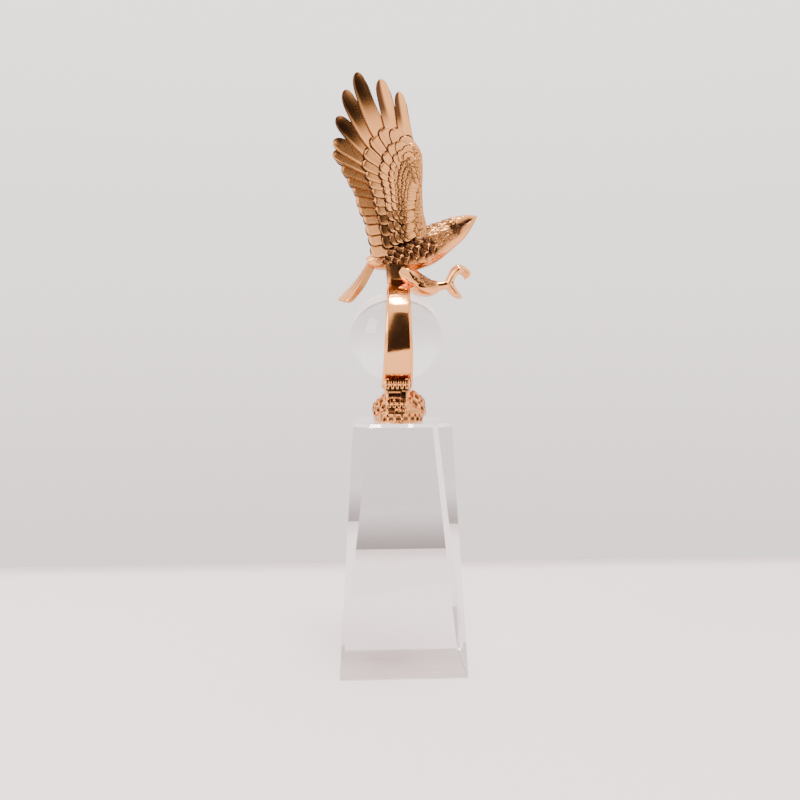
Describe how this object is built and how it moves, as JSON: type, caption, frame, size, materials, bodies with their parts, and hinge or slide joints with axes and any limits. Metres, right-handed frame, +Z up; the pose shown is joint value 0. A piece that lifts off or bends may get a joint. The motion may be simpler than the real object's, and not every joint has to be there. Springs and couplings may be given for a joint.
{
  "type": "eagle trophy",
  "caption": "Trophy of a cast eagle with raised wings, standing on a crescent arm that holds a crystal ball over a walled rock mound on a tapered crystal plinth.",
  "frame": {"origin": "middle of the plinth's underside", "axes": "+Z up; the eagle faces +X; the crescent arm and the gate tower face -Y"},
  "size_m": [0.0929, 0.08, 0.3782],
  "materials": {
    "plinth_crystal": "clear polished optical crystal",
    "ball_crystal": "clear polished crystal ball",
    "stand_rose_gold": "cast metal plated in polished rose gold",
    "eagle_rose_gold": "cast metal plated in polished rose gold"
  },
  "bodies": {
    "root": {"crystal_plinth": "plinth_crystal", "crystal_ball": "ball_crystal", "metal_stand": "stand_rose_gold", "eagle": "eagle_rose_gold"}
  },
  "joints": []
}
